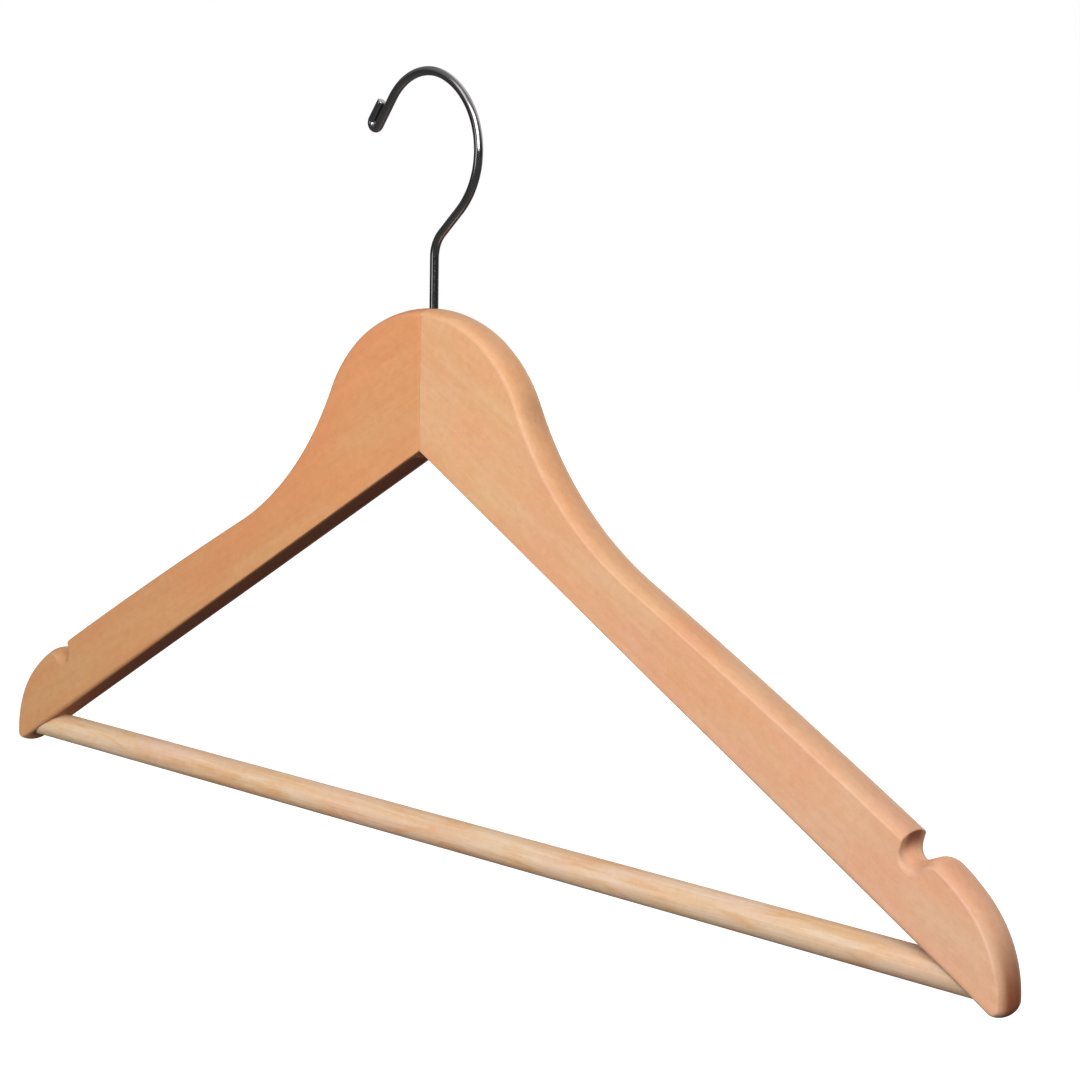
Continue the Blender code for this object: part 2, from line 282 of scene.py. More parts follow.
rightWood = {
    "grainTurn": -30.0,
    "patch": (26, 62, 62),
    "pale": (0.835, 0.53, 0.335),
    "warm": (0.86, 0.465, 0.275),
    "deep": (0.74, 0.35, 0.18),
    "blush": (0.855, 0.45, 0.325),
    "blushShare": 0.5,
    "heart": 0.0,
    "drift": (0.03, 0.2),
    "joint": (1.0, 0.98, 0.84),
    # darker at the tip: painted shade
    "tip": (0.92, 0.92, 0.95),
    "shift": (0.02, 0.27, 0.11),
    "bands": 0.24,
    "streaks": 0.09,
    "flames": 0.15,
    "flecks": 0.6,
    "roughness": 0.54,
    "coat": 0.05,
}

barWood = {
    "grainTurn": 0.0,
    "patch": (34, 150, 150),
    "pale": (0.91, 0.745, 0.58),
    "warm": (0.88, 0.61, 0.365),
    "deep": (0.79, 0.51, 0.29),
    "blush": (0.90, 0.63, 0.50),
    "blushShare": 0.7,
    "heart": 0.0,
    "drift": (-0.05, 0.2),
    "joint": (1.0, 1.0, 1.0),
    # darker at the tip: painted shade
    "tip": (0.88, 0.88, 0.90),
    "shift": (0.17, 0.03, 0.21),
    "bands": 0.51,
    "streaks": 0.7,
    "flames": 0.9,
    "flecks": 0.5,
    "roughness": 0.58,
    "coat": 0.03,
}

# Marks in the grain: their scale is per metre, along the grain and across it, then come the
# noise's detail, roughness and distortion, and the stretch of its value where the mark comes in
marks = {
    "patches": {"noise": (4.0, 0.6, 0.5), "shows": (0.36, 0.62)},
    "blush": {"scale": (15, 38, 38), "noise": (3.0, 0.55, 0.4), "shows": (0.46, 0.62)},
    "bands": {"scale": (8, 210, 210), "noise": (4.0, 0.6, 0.8), "shows": (0.42, 0.68)},
    "streaks": {"scale": (16, 760, 760), "noise": (3.0, 0.6, 0.3), "shows": (0.30, 0.70)},
    "flames": {"scale": (36, 235, 235), "noise": (3.0, 0.6, 0.9), "shows": (0.50, 0.66)},
    "flecks": {"scale": (400, 540, 540), "noise": (3.0, 0.7), "shows": (0.32, 0.68)},
    "fibres": {"scale": (70, 2200, 2200), "noise": (3.0, 0.6), "shows": (0.35, 0.65)},
    "pores": {"scale": (300, 3000, 3000), "noise": (2.0, 0.5), "shows": (0.64, 0.74)},
}

# What the wood's colour is multiplied by in each kind of mark
tints = {
    "streaks": (0.84, 0.72, 0.60),
    "flames": (0.95, 0.82, 0.66),
    "flecks": (0.90, 0.84, 0.78),
    "fibres": (0.80, 0.66, 0.52),
    "pores": (0.62, 0.42, 0.28),
    # end grain, with painted shade on the inner edge and under the notch's overhang
    "endGrainAndShade": (0.37, 0.19, 0.13),
    # painted shade, greyer, that dims the notch's lit rim and wall
    "notch": (0.80, 0.87, 0.94),
    # painted shade with a whiter painted sheen, on the ridge
    "ridge": (0.85, 0.93, 1.15),
}

# What all the wood has in common
finish = {
    "heartBorder": (-0.075, -0.045),   # metres across the grain where the heart's colour comes in
    "heartWander": 0.06,           # how far the noise moves that border
    "fibres": 0.10,                # strength of the fibres' tint
    "pores": 0.18,
    "ridgePatches": (0.35, 0.65),  # noise values of a warm patch and a pale one
    "ridgeShadeStrength": (0.45, 0.15),     # strength of the ridge's painted shade and sheen in each
    "smoother": 0.05,              # how far the roughness goes down and up along the fibres
    "rougher": 0.07,
    "specular": 0.35,
    "coatRoughness": 0.35,
    "poreDepth": -1.2,             # of the fibres' height
    "relief": 0.12,
    "reliefDepth": 0.2,
}


def woodMaterial(name, look):
    material, tree, shader = nodeTree(name)
    turn = math.radians(look["grainTurn"])
    shift = look["shift"]
    # a second place in the noise, for marks that shouldn't follow the patches
    otherShift = tuple(2.7 * offset + 0.4 for offset in shift)

    def grain(mark, offset=shift):
        scale = marks[mark].get("scale", look["patch"])
        return noise(tree, stretched(tree, turn, scale, offset), *marks[mark]["noise"])

    def showing(mark, value, strength):
        return remap(tree, value, *marks[mark]["shows"], 0.0, strength)

    # Broad cloudy patches, a little longer with the grain, and a blush over some of them
    cloudy = grain("patches")
    tone = ramp(tree, showing("patches", cloudy, 1.0), ((0.0, look["warm"]), (1.0, look["pale"])))
    blush = grain("blush", otherShift)
    tone = mixColour(tree, "MIX", showing("blush", blush, look["blushShare"]), tone, look["blush"])

    # Heartwood colour towards the upper edge, with a wandering border
    across = tree.nodes.new("ShaderNodeSeparateXYZ")
    tree.links.new(stretched(tree, turn, (1, 1, 1)), across.inputs[0])
    wander = combine(tree, "MULTIPLY", blush, finish["heartWander"])
    border = combine(tree, "ADD", across.outputs["Z"], wander)
    heart = remap(tree, border, *finish["heartBorder"], 0.0, look["heart"])
    tone = mixColour(tree, "MIX", heart, tone, look["blush"])

    # Growth lines: wide soft bands that wander along the arm, then narrower marks in them
    tone = mixColour(tree, "MIX", showing("bands", grain("bands"), look["bands"]), tone, look["deep"])
    for mark, offset in (("streaks", shift), ("flames", otherShift), ("flecks", shift)):
        strength = showing(mark, grain(mark, offset), look[mark])
        tone = mixColour(tree, "MULTIPLY", strength, tone, tints[mark])

    # Fine fibres and short dark pores
    fibres = grain("fibres")
    fine = showing("fibres", fibres, finish["fibres"])
    tone = mixColour(tree, "MULTIPLY", fine, tone, tints["fibres"])
    pores = showing("pores", grain("pores"), finish["pores"])
    tone = mixColour(tree, "MULTIPLY", pores, tone, tints["pores"])

    # The colour drifts from the joint to the tip and darkens out there: painted shade for light falling off
    place = tree.nodes.new("ShaderNodeTexCoord").outputs["Object"]
    split = tree.nodes.new("ShaderNodeSeparateXYZ")
    tree.links.new(place, split.inputs[0])
    near = remap(tree, split.outputs["X"], *look["drift"], 1.0, 0.0)
    drift = mixColour(tree, "MIX", near, look["tip"], look["joint"])
    tone = mixColour(tree, "MULTIPLY", 1.0, tone, drift)

    # End grain drinks more of the finish; the same tint paints shade on the inner edge and the notch's wall
    tone = mixColour(tree, "MULTIPLY", painted(tree, "endGrainAndShade"), tone, tints["endGrainAndShade"])
    # painted shade in the notch, dimming the light on its rounded rim and wall
    tone = mixColour(tree, "MULTIPLY", painted(tree, "notch"), tone, tints["notch"])
    # painted shade on the ridge dims its highlight and a painted sheen whitens it, in patches
    ridgeTintStrength = remap(tree, cloudy, *finish["ridgePatches"], *finish["ridgeShadeStrength"])
    ridgeShadeSheen = combine(tree, "MULTIPLY", painted(tree, "ridge"), ridgeTintStrength)
    tone = mixColour(tree, "MULTIPLY", ridgeShadeSheen, tone, tints["ridge"])
    tree.links.new(tone, shader.inputs["Base Color"])

    smoothest, roughest = look["roughness"] - finish["smoother"], look["roughness"] + finish["rougher"]
    tree.links.new(remap(tree, fibres, *noiseSpread, smoothest, roughest), shader.inputs["Roughness"])
    shader.inputs["Specular IOR Level"].default_value = finish["specular"]
    shader.inputs["Coat Weight"].default_value = look["coat"]
    shader.inputs["Coat Roughness"].default_value = finish["coatRoughness"]

    relief = combine(tree, "ADD", fibres, combine(tree, "MULTIPLY", pores, finish["poreDepth"]))
    bump = addNode(
        tree, "ShaderNodeBump", Strength=finish["relief"], Distance=finish["reliefDepth"] * mm,
    )
    tree.links.new(relief, bump.inputs["Height"])
    tree.links.new(bump.outputs["Normal"], shader.inputs["Normal"])
    return material


# Metal

hookMetal = {
    "colour": (0.39, 0.378, 0.382),
    "dull": (0.30, 0.288, 0.292),
    "roughness": 0.11,
}

hardwareMetal = {
    "colour": (0.62, 0.61, 0.58),
    "dull": (0.38, 0.36, 0.33),
    "roughness": 0.32,
}

bradMetal = {
    "colour": (0.52, 0.52, 0.52),
    "dull": (0.32, 0.31, 0.30),
    "roughness": 0.36,
}

plating = {
    "cloud": 90,                   # cloudy patches per metre
    "cloudEnds": (0.3, 0.62),      # noise values of the dull and the bright plating
    "line": 1400,                  # fine drawing lines and specks per metre
    "noise": (3.0, 0.6),
    "smoother": 0.03,              # how far the roughness goes down and up in them
    "rougher": 0.05,
    "relief": 0.012,
    "reliefDepth": 0.05,
}


def metalMaterial(name, look):
    material, tree, shader = nodeTree(name)
    cloudy = noise(tree, stretched(tree, 0.0, (plating["cloud"],) * 3), *plating["noise"])
    dullAt, brightAt = plating["cloudEnds"]
    tone = ramp(tree, cloudy, ((dullAt, look["dull"]), (brightAt, look["colour"])))
    tree.links.new(tone, shader.inputs["Base Color"])
    shader.inputs["Metallic"].default_value = 1.0
    fine = noise(tree, stretched(tree, 0.0, (plating["line"],) * 3), *plating["noise"])
    smoothest, roughest = look["roughness"] - plating["smoother"], look["roughness"] + plating["rougher"]
    tree.links.new(remap(tree, fine, *noiseSpread, smoothest, roughest), shader.inputs["Roughness"])
    bump = addNode(
        tree, "ShaderNodeBump", Strength=plating["relief"], Distance=plating["reliefDepth"] * mm,
    )
    tree.links.new(fine, bump.inputs["Height"])
    tree.links.new(bump.outputs["Normal"], shader.inputs["Normal"])
    return material


# Arms

arm = {
    "crownHeight": 43.9,
    "crownRadius": 46.1,
    "crownSweep": 65.3,            # degrees
    "neckRadius": 102.7,
    "shoulderSlope": 28.4,
    "shoulderRadius": 2786.0,
    "endRadius": 37.3,
    "tipRadius": 3.4,
    "tipDrop": 1.0,
    "innerSlope": 31.25,
    "noseInset": 1.6,              # how far the rounded edge draws in at each face
    "noseFade": 8.0,               # length behind the tip over which it dies out
    "ridgeRound": 1.0,             # softening of the ridge between face and rounded edge
    "crownRound": 1.8,             # the same on the crown
    "edgeRound": 0.5,              # softening of the square inner edge at the apex
    "edgeRoundTip": 1.6,           # and near the tip
    "edgeRoundTurn": (70.0, 180.0),    # places along X between which the one turns to the other
    "lipLift": 0.6,                # how far the edge rises past the notch
    "lipRise": (1.0, 5.0),         # where it rises, past the notch's root
    "lipFall": (8.0, 18.0),        # and where it comes down again
    "faceRim": 0.9,                # width of the strip that frames each flat face
    "seamGap": 0.03,               # half of the hairline between the arms
    "seamRound": 0.22,
    "spacing": 2.0,                # between points on the arcs
    "sharpAngle": 38.0,
}

notch = {
    "fromEnd": 30.0,               # from the arm's end to the centre of the notch's root
    "drop": 3.3,                   # from the upper edge down to it
    "rootRadius": 3.25,
    "wallLean": 15.0,
    "floorRise": 24.0,
    "floorLength": 4.6,
    "lipRadius": 5.0,
    "lipTurn": 41.0,
    "cornerSoft": 0.45,            # reach of the rounding at the wall's upper corner
    "lipSoft": 2.0,                # and where the lip runs into the end arc
    "wallEdge": 0.4,               # rounding of the wall's long edges
    "floorRound": 3.4,             # and of the crowned floor's, which blend into the faces
    "wallPoints": (11.0, 8.0, 5.0, 3.0, 1.5, 0.5),     # lengths up the wall
    "floorPoints": 8,
    "runOutPoints": (2.0, 5.0, 9.0),
    "rootSpacing": 0.4,
    "lipSpacing": 0.5,
}

# Points on each stretch of an arm's outline. All slices have the same, so that they join up.
stretches = {
    "toNotch": 112,
    "cornerTurn": 5,
    "notch": 44,
    "lipTurn": 6,
    "toTip": 34,
    "noseFade": 10,
    "inner": 40,
    "seam": 9,
}


def armCurves():
    # centres of the upper edge's tangent arcs, then the angles where they meet, in radians
    slope = math.radians(arm["shoulderSlope"])
    sweep = math.radians(arm["crownSweep"])
    crown = Vector((0, arm["crownHeight"] - arm["crownRadius"]))
    neck = crown + (arm["crownRadius"] + arm["neckRadius"]) * Vector((math.sin(sweep), math.cos(sweep)))
    reach = arm["neckRadius"] + arm["shoulderRadius"]
    shoulder = neck - reach * Vector((math.sin(slope), math.cos(slope)))
    span = arm["shoulderRadius"] - arm["endRadius"]
    endSlope = math.asin((halfWidth - arm["endRadius"] - shoulder.x) / span)
    end = shoulder + span * Vector((math.sin(endSlope), math.cos(endSlope)))
    inner = math.radians(arm["innerSlope"])
    across = Vector((math.sin(inner), math.cos(inner)))
    along = Vector((math.cos(inner), -math.sin(inner)))
    above = end.dot(across) - arm["tipRadius"] + arm["tipDrop"]
    run = math.sqrt((arm["endRadius"] - arm["tipRadius"]) ** 2 - above**2)
    tip = end - above * across + run * along
    tipStart = math.atan2(tip.x - end.x, tip.y - end.y)
    return crown, neck, shoulder, end, tip, sweep, slope, endSlope, tipStart, inner


def upperEdge():
    # the upper edge from crown to tip as (point, normal, softness of its ridge)
    crown, neck, shoulder, end, tip, sweep, slope, endSlope, tipStart, inner = armCurves()
    space = arm["spacing"]
    edge = arcPoints(crown, arm["crownRadius"], 0.0, sweep, space)
    back = [(p, -n) for p, n in arcPoints(neck, arm["neckRadius"], sweep + math.pi, slope + math.pi, space)]
    edge += back[1:]
    edge += arcPoints(shoulder, arm["shoulderRadius"], slope, endSlope, space)[1:]
    # the tighter arcs get closer points
    edge += arcPoints(end, arm["endRadius"], endSlope, tipStart, space / 2)[1:]
    tipTurn = arcPoints(tip, arm["tipRadius"], tipStart, math.pi + inner, space / 4)[1:]
    neckEnd = neck.x - arm["neckRadius"] * math.sin(slope)
    softer = arm["crownRound"] - arm["ridgeRound"]
    rootX = halfWidth - notch["fromEnd"]
    lifted = []
    for p, n in edge:
        past = p.x - rootX
        lift = arm["lipLift"] * fade(past, *arm["lipRise"]) * (1 - fade(past, *arm["lipFall"]))
        lifted.append((p + n * lift, n, arm["ridgeRound"] + softer * (1 - fade(p.x, 0.0, neckEnd))))
    return lifted, [(p, n, arm["ridgeRound"]) for p, n in tipTurn]


def innerEdge(corner):
    # from the tip back to the apex; each point carries its share of the tip's rounding
    inner = math.radians(arm["innerSlope"])
    inward = Vector((-math.cos(inner), math.sin(inner)))
    below = Vector((-math.sin(inner), -math.cos(inner)))
    points = []
    steps = stretches["noseFade"]
    for i in range(1, steps + 1):
        share = (1 + math.cos(math.pi * i / steps)) / 2
        rise = arm["tipDrop"] * (1 - share)
        points.append((corner + inward * (arm["noseFade"] * i / steps) - below * rise, below, share))
    start = points[-1][0]
    stop = Vector((arm["seamGap"], -arm["seamGap"] * math.tan(inner)))
    steps = stretches["inner"]
    for i in range(1, steps + 1):
        points.append((start.lerp(stop, i / steps), below, 0.0))
    return points


def notchPath():
    # leaning wall, round root, rising floor, soft lip, and a run-out; each point has its normal
    # towards the open side, its share of the crowned profile, and the rounding of that profile
    shoulder = armCurves()[2]
    rootX = halfWidth - notch["fromEnd"]
    top = shoulder.y + math.sqrt(arm["shoulderRadius"] ** 2 - (rootX - shoulder.x) ** 2)
    root = Vector((rootX, top - notch["drop"]))
    lean = math.radians(notch["wallLean"])
    rise = math.radians(notch["floorRise"])
    # the arc's own normals point away from the open side, so they are turned over
    rootStops = (lean - math.pi / 2, -math.pi - rise)
    turned = arcPoints(root, notch["rootRadius"], *rootStops, notch["rootSpacing"])
    soft, crisp = notch["floorRound"], arm["ridgeRound"]
    last = len(turned) - 1
    rootArc = [(p, -n, smooth(i / last), soft) for i, (p, n) in enumerate(turned)]
    rootStart, wallNormal = rootArc[0][:2]
    wallWay = Vector((math.sin(lean), math.cos(lean)))
    wall = [(rootStart + wallWay * climb, wallNormal, 0.0, soft) for climb in notch["wallPoints"]]
    floorWay = Vector((math.cos(rise), math.sin(rise)))
    rootEnd, floorNormal = rootArc[-1][:2]
    floorEnd = rootEnd + floorWay * notch["floorLength"]
    floor = []
    for i in range(1, notch["floorPoints"] + 1):
        share = i / notch["floorPoints"]
        rounding = soft + (crisp - soft) * smooth(share)
        floor.append((rootEnd.lerp(floorEnd, share), floorNormal, 1.0, rounding))
    lipCentre = floorEnd + notch["lipRadius"] * Vector((floorWay.y, -floorWay.x))
    turn = math.radians(notch["lipTurn"])
    turnOver = arcPoints(lipCentre, notch["lipRadius"], -rise, turn - rise, notch["lipSpacing"])[1:]
    lip = [(p, n, 1.0, crisp) for p, n in turnOver]
    lipEnd, lipNormal = lip[-1][:2]
    outWay = Vector((lipNormal.y, -lipNormal.x))
    runOut = [(lipEnd + outWay * reach, lipNormal, 1.0, crisp) for reach in notch["runOutPoints"]]
    return wall + rootArc + floor + lip + runOut


def edgeInset(y, radius):
    # how far a plain rounded edge of this radius draws in at a place across the thickness
    past = abs(y) - (halfThickness - radius)
    return radius - math.sqrt(max(0.0, radius**2 - past**2)) if past > 0 else 0.0


# places across half the thickness, close together where the ridge turns
sliceShares = (
    1.0, 0.9975, 0.99, 0.9767, 0.9567, 0.93, 0.893, 0.847, 0.783, 0.70, 0.583, 0.433, 0.283, 0.142,
)


def noseInset(y, soft):
    # how far the nose draws in there, with its ridge softened by this radius
    sag, half = arm["noseInset"], halfThickness
    noseRadius = (half**2 + sag**2) / (2 * sag)
    centreY = half - soft
    lean = math.asin(centreY / (noseRadius - soft))
    if abs(y) <= noseRadius * math.sin(lean):
        return noseRadius - math.sqrt(noseRadius**2 - y**2)
    centreInset = noseRadius - (noseRadius - soft) * math.cos(lean)
    return centreInset - math.sqrt(max(0.0, soft**2 - (abs(y) - centreY) ** 2))


def softCorner(path, corner, reach, steps):
    # swaps the points near a corner for a smooth turn
    before = [p for p in path[:corner] if (p - path[corner]).length > reach]
    after = [p for p in path[corner + 1:] if (p - path[corner]).length > reach]
    a = path[corner] + (before[-1] - path[corner]).normalized() * reach
    b = path[corner] + (after[0] - path[corner]).normalized() * reach
    blend = []
    for i in range(steps + 1):
        t = i / steps
        blend.append(a * (1 - t) ** 2 + path[corner] * 2 * t * (1 - t) + b * t**2)
    return before, blend, after


def armSlice(y, further):
    # one closed outline at a place across the thickness, with the same point count each time;
    # further moves the whole outline into the wood
    edge, tipTurn = upperEdge()
    corner = tipTurn[-1][0]
    seam = edgeInset(y, arm["seamRound"]) + further
    tipInset = noseInset(y, arm["ridgeRound"]) + further
    upper = [p - n * (noseInset(y, soft) + further) for p, n, soft in edge + tipTurn]
    square = edgeInset(y, notch["wallEdge"])
    cut = []
    for p, n, crowned, soft in notchPath():
        cut.append(p - n * (square * (1 - crowned) + noseInset(y, soft) * crowned + further))

    first, enter, wallTop = crossing(upper, cut)
    last, leave, lipEnd = crossing(upper, cut, fromEnd=True)
    section = upper[:first + 1] + [wallTop] + cut[enter + 1:leave + 1] + [lipEnd] + upper[last + 1:]
    before, turnIn, rest = softCorner(section, first + 1, notch["cornerSoft"], stretches["cornerTurn"])
    lipAt = next(i for i, p in enumerate(rest) if (p - lipEnd).length < 1e-9)
    middle, turnOut, tail = softCorner(rest, lipAt, notch["lipSoft"], stretches["lipTurn"])

    # keep the seam end of the crown on the seam's own plane
    before[0] = Vector((arm["seamGap"] + seam, before[0].y))
    tipCount = len(tipTurn)
    endPart, tipPart = tail[:-tipCount + 1], tail[-tipCount:]
    outline = resample(before + turnIn[:1], stretches["toNotch"]) + turnIn[1:]
    outline += resample(turnIn[-1:] + middle + turnOut[:1], stretches["notch"])[1:] + turnOut[1:]
    outline += resample(turnOut[-1:] + endPart, stretches["toTip"])[1:] + tipPart[1:]
    rounder = arm["edgeRoundTip"] - arm["edgeRound"]
    for p, n, share in innerEdge(corner):
        rounding = arm["edgeRound"] + rounder * fade(p.x, *arm["edgeRoundTurn"])
        square = edgeInset(y, rounding) + further
        outline.append(p - n * (tipInset * share + square * (1 - share)))
    outline[-1] = Vector((arm["seamGap"] + seam, outline[-1].y))
    # the seam's face, from the apex up
    top, low = outline[0], outline[-1]
    steps = stretches["seam"] + 1
    outline += [low.lerp(top, i / steps) for i in range(1, steps)]
    return outline


# What is painted on the arms' points for their material. Places along the outline are counted in
# points from the notch's corner, and depths in millimetres from the nearer face.
paint = {
    "notch": ((-2, 2), (48, 54)),  # where the notch begins and ends
    "root": (6, 20),               # where its wall, dark with end grain and painted shade under the overhang, turns into the floor
    "clean": (0.1, 0.95),          # share of that end grain and shade tint that wall and floor go without
    "wall": (8, 24),               # where the painted shade on the middle of its wall dies out
    "rim": (1.1, 0.8),             # depth and width of the painted shade along its rim, which dims the light there
    "rimFade": (20, 32),           # where that painted shade halves
    "flat": 4.0,                   # depth from which the colour is that of the middle
    "endGrainAndShade": (0.04, 0.76),      # squared sine to the grain where it starts to show and where it is full
    "endGrainLeast": 0.15,
    "underDepth": 2.5,             # the painted shade on the downward-facing inner edge starts this far in
    "underRun": 6,                 # and over these points from the tip
    "under": 0.92,
    "ridge": ((-8, 0), (26, 40)),  # the ridge's painted shade and sheen stops before the notch and goes on after it
    "ridgeLine": (0.4, 0.45),      # its depth and width
    "innerRidge": 0.3,             # how much of it there is on the inner edge
}


def paintPoint(i, seamStart, acrossGrain, depth):
    # end grain with painted shade, the notch's painted shade, and the ridge's painted shade and sheen, each
    # from 0 to 1, for the point with this number in its outline
    tipEnd = seamStart - stretches["inner"] - stretches["noseFade"] - 1
    past = i - stretches["toNotch"]
    begins, ends = paint["notch"]
    inNotch = fade(past, *begins) * (1 - fade(past, *ends))
    flat = fade(depth, 0.0, paint["flat"])

    grainAndShade = max(paint["endGrainLeast"], fade(acrossGrain**2, *paint["endGrainAndShade"])) * flat
    wallClean, floorClean = paint["clean"]
    # painted shade: the notch's wall keeps most of the tint under its overhang, and the floor loses it
    grainAndShade *= 1 - inNotch * (wallClean + (floorClean - wallClean) * fade(past, *paint["root"]))
    # painted shade on the inner edge, which faces down, from the tip to the seam
    if i > tipEnd:
        under = fade(i, tipEnd, tipEnd + paint["underRun"]) * fade(depth, 0.0, paint["underDepth"])
        grainAndShade = max(grainAndShade, paint["under"] * under)
    if i == 0 or i >= seamStart - 1:
        grainAndShade = 0.0              # on the seam's own face

    # painted shade along the notch's rim and over its wall
    rim = bell(depth, *paint["rim"]) * (1 - 0.5 * fade(past, *paint["rimFade"]))
    wall = flat * (1 - fade(past, *paint["wall"]))

    # painted shade and sheen along the ridge
    before, after = paint["ridge"]
    ridgeShadeSheen = 1 - fade(past, *before) * (1 - fade(past, *after))
    if i >= tipEnd:
        ridgeShadeSheen *= paint["innerRidge"]
    return grainAndShade, inNotch * max(rim, wall), ridgeShadeSheen * bell(depth, *paint["ridgeLine"])


def makeArm(side, name, node, material):
    grain = math.radians(-rightWood["grainTurn"])
    grainWay = Vector((math.cos(grain), -math.sin(grain)))
    shares = list(sliceShares) + [0.0] + [-share for share in reversed(sliceShares)]
    slices = [(-halfThickness, arm["faceRim"])] + [(-share * halfThickness, 0.0) for share in shares]
    slices.append((halfThickness, arm["faceRim"]))
    bm = bmesh.new()
    layers = [bm.verts.layers.float.new(layer) for layer in ("endGrainAndShade", "notch", "ridge")]
    rings = []
    for y, further in slices:
        ring = []
        outline = armSlice(y, further)
        seamStart = len(outline) - stretches["seam"]
        for i, p in enumerate(outline):
            vert = bm.verts.new((side * p.x * mm, y * mm, (p.y - seatHeight) * mm))
            way = (outline[(i + 1) % len(outline)] - outline[i - 1]).normalized()
            acrossGrain = abs(way.x * grainWay.y - way.y * grainWay.x)
            # the flat faces inside their rims stay as they are
            if further == 0:
                values = paintPoint(i, seamStart, acrossGrain, halfThickness - abs(y))
                for layer, value in zip(layers, values):
                    vert[layer] = value
            ring.append(vert)
        rings.append(ring)
    piece = addPiece(name, skinMesh(name, bm, rings), "hanger_body", material, node)
    drillArm(piece, side)
    shade(piece.data, arm["sharpAngle"])
    print(name, len(piece.data.polygons), "faces")


# Holes and the centre joint

hole = {
    "barFit": 0.06,                # gap round the bar
    "barDepth": 5.5,               # wood left past the bar's end
    "barFrom": 150.0,              # the cut starts here, in the open V
    "bore": 1.5,
    "boreTop": 50.0,               # past the crown
    "pocketRadius": 4.1,
    "pocketSeat": 8.0,
    "past": 9.0,                   # how far a cut starts or ends outside the wood
    "bradFromEnd": 9.0,
    "bradRadius": 1.35,
    "tongueLow": 10.5,
    "tongueHigh": 35.5,
    "tongueLength": 9.0,
    "tongueHalf": 3.0,
    "tongueRoot": 2.0,             # how far the tongue's own solid reaches into its arm
    "sides": {"bar": 64, "brad": 32, "bore": 40},      # of each hole's circle
}


def latheMesh(name, profile, axis, steps):
    # a closed turned shape from (radius, place along the axis) pairs in millimetres
    bm = bmesh.new()
    rings = []
    for radius, along in profile:
        if radius == 0:
            rings.append([bm.verts.new((0, 0, along * mm))])
            continue
        ring = []
        for i in range(steps):
            angle = 2 * math.pi * i / steps
            ring.append(bm.verts.new((
                radius * math.cos(angle) * mm, radius * math.sin(angle) * mm, along * mm,
            )))
        rings.append(ring)
    for low, high in zip(rings, rings[1:]):
        for i in range(steps):
            j = (i + 1) % steps
            corners = [low[i % len(low)], low[j % len(low)], high[j % len(high)], high[i % len(high)]]
            bm.faces.new(list(dict.fromkeys(corners)))
    turnTo = {"X": Matrix.Rotation(math.pi / 2, 4, "Y"), "Y": Matrix.Rotation(-math.pi / 2, 4, "X")}
    if axis in turnTo:
        bmesh.ops.transform(bm, matrix=turnTo[axis], verts=bm.verts)
    return meshFrom(name, bm)


def boxMesh(name, low, high):
    bm = bmesh.new()
    bmesh.ops.create_cube(bm, size=1.0)
    for vert in bm.verts:
        for k in range(3):
            vert.co[k] = (low[k] if vert.co[k] < 0 else high[k]) * mm
    return meshFrom(name, bm)


def cutWith(piece, mesh, place, operation="DIFFERENCE"):
    tool = bpy.data.objects.new("tool", mesh)
    bpy.context.collection.objects.link(tool)
    tool.location = [value * mm for value in place]
    modifier = piece.modifiers.new("cut", "BOOLEAN")
    modifier.operation = operation
    modifier.solver = "EXACT"
    modifier.object = tool
    bpy.context.view_layer.update()
    applyModifiers(piece)
    bpy.data.objects.remove(tool, do_unlink=True)


def drillArm(piece, side):
    level, past, sides = barHeight - seatHeight, hole["past"], hole["sides"]
    radius = barRadius + hole["barFit"]
    low, high = sorted((side * hole["barFrom"], side * (halfWidth - hole["barDepth"])))
    profile = [(0, low), (radius, low), (radius, high), (0, high)]
    cutWith(piece, latheMesh("barHole", profile, "X", sides["bar"]), (0, 0, level))

    profile = [(0, 0), (hole["bradRadius"], 0), (hole["bradRadius"], past), (0, past)]
    bradX = side * (halfWidth - hole["bradFromEnd"])
    cutWith(piece, latheMesh("bradHole", profile, "Y", sides["brad"]), (bradX, 0, level))

    # the right arm has the tongue and the left one its slot
    half = hole["tongueHalf"]
    low = (-hole["tongueLength"], -half, hole["tongueLow"])
    high = (hole["tongueRoot"], half, hole["tongueHigh"])
    join = "UNION" if side > 0 else "DIFFERENCE"
    cutWith(piece, boxMesh("tongue", low, high), (0, 0, -seatHeight), join)

    pocket, seat, bore, top = hole["pocketRadius"], hole["pocketSeat"], hole["bore"], hole["boreTop"]
    profile = [(0, -past), (pocket, -past), (pocket, seat), (bore, seat), (bore, top), (0, top)]
    cutWith(piece, latheMesh("hookBore", profile, "Z", sides["bore"]), (0, 0, -seatHeight))


# Trouser bar

bar = {
    "chamfer": 0.8,
    "endInset": 0.02,              # of the chamfer's corner, below the dowel's own surface
    "sides": 64,
    "rings": 90,
    "waver": 0.03,                 # unevenness of the turned dowel
    "waverTurns": (0.041, 0.017),  # its two waves, in radians per millimetre
    "sharpAngle": 30.0,
}


